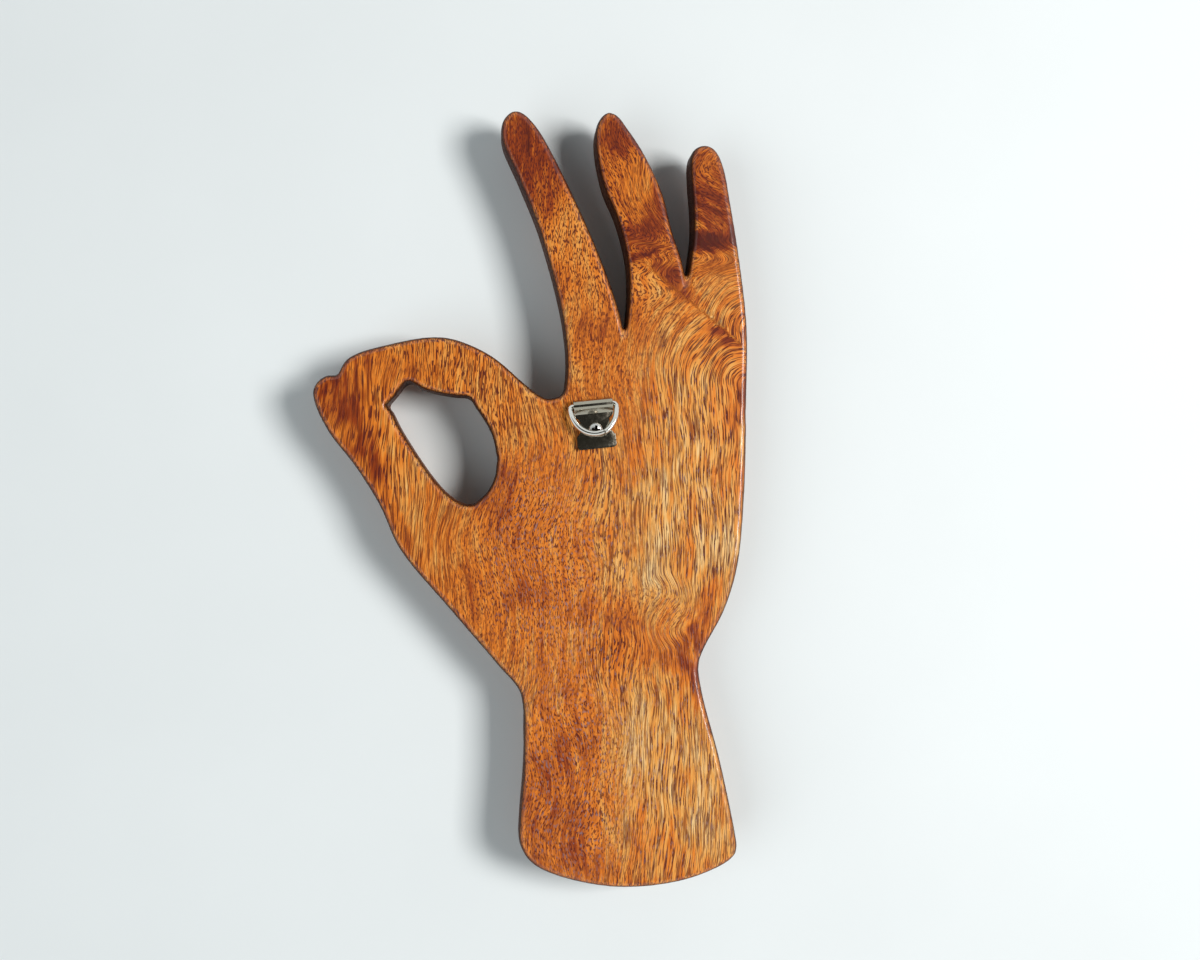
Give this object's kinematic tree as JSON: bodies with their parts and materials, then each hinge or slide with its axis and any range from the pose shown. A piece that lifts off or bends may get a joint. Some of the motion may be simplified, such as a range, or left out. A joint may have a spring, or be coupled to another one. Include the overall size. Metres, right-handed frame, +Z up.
{
  "type": "carved hand sculpture",
  "caption": "Flat-backed wooden hand carved from a board, thumb and forefinger closed in a ring, hung on a wall from a D-ring strap hanger.",
  "frame": {"origin": "on the flat back of the hand, under the middle of the straight bar of the hanger's ring", "axes": "+X across the hand towards the thumb, +Y out of the flat back towards the wall, +Z up to the fingertips"},
  "size_m": [0.1452, 0.0279, 0.2603],
  "materials": {
    "wood": "satin varnished reddish hardwood",
    "strap_plate": "nickel plated pressed steel, scratched",
    "ring_wire": "nickel plated steel wire",
    "screw_plate": "zinc plated steel, dull"
  },
  "bodies": {
    "hand": {"carved_hand": "wood", "hanger_strap": "strap_plate", "hanger_screw": "screw_plate"},
    "ring": {"d_ring": "ring_wire"}
  },
  "joints": [
    {"name": "ring_swing", "type": "hinge", "parent": "hand", "child": "ring", "pos_m": [0, 0.0022, 0], "axis": [0.9943, 0, -0.1063], "range_deg": [0, 169]}
  ]
}
